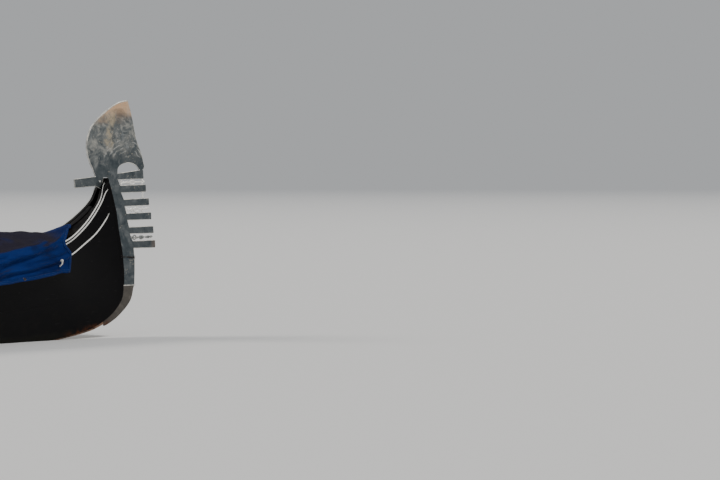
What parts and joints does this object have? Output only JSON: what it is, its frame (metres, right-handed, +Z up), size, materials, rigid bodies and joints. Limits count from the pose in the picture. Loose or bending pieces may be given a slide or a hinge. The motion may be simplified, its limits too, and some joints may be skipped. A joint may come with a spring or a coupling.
{
  "type": "lagoon gondola under a rain cover",
  "caption": "Long flat-bottomed black rowing boat, wider to port, with a toothed steel bow iron, cambered decks, a lift-out rowing crutch and a blue cloth rain cover.",
  "frame": {"origin": "middle of the bounding box at the bottom, on the flat of the bottom planking", "axes": "+X to the bow along the boat, +Y to port, +Z up"},
  "size_m": [10.892, 1.4818, 1.619],
  "materials": {
    "hull_lacquer": "gloss black lacquer",
    "rail_lacquer": "gloss black lacquer on moulded rails",
    "bow_steel": "mottled bright steel",
    "worn_iron": "brown-grey worn iron",
    "cover_cloth": "deep blue waterproof canvas",
    "walnut": "oiled walnut",
    "tie_cord": "white cord"
  },
  "bodies": {
    "hull": {"fore_bottom": "hull_lacquer", "mid_bottom": "hull_lacquer", "aft_bottom": "hull_lacquer", "lower_strake_fore_port": "hull_lacquer", "lower_strake_mid_port": "hull_lacquer", "lower_strake_aft_port": "hull_lacquer", "lower_strake_fore_starboard": "hull_lacquer", "lower_strake_mid_starboard": "hull_lacquer", "lower_strake_aft_starboard": "hull_lacquer", "upper_strake_port": "hull_lacquer", "upper_strake_starboard": "hull_lacquer", "sheer_band_port": "hull_lacquer", "sheer_band_starboard": "hull_lacquer", "gunwale_rail_port": "rail_lacquer", "gunwale_rail_starboard": "rail_lacquer", "stem_post": "hull_lacquer", "stern_post": "hull_lacquer", "fore_deck_port": "hull_lacquer", "fore_deck_starboard": "hull_lacquer", "fore_deck_ridge": "rail_lacquer", "aft_deck_port": "hull_lacquer", "aft_deck_starboard": "hull_lacquer", "aft_deck_ridge": "rail_lacquer", "fore_coaming": "hull_lacquer", "aft_coaming": "hull_lacquer", "ferro_blade": "bow_steel", "comb_ornament_1": "bow_steel", "comb_ornament_2": "bow_steel", "comb_ornament_3": "bow_steel", "spine_clip": "worn_iron", "ferro_lower_band": "worn_iron", "ferro_keel_strip": "worn_iron", "stern_iron": "bow_steel", "forcola_block": "rail_lacquer", "footboard": "walnut", "rain_cover": "cover_cloth", "cover_tie_port": "tie_cord", "cover_tie_starboard": "tie_cord"},
    "crutch": {"forcola": "walnut"}
  },
  "joints": [
    {"name": "crutch_lift", "type": "slide", "parent": "hull", "child": "crutch", "axis": [0, 0, 1], "range_m": [0, 0.15]}
  ]
}
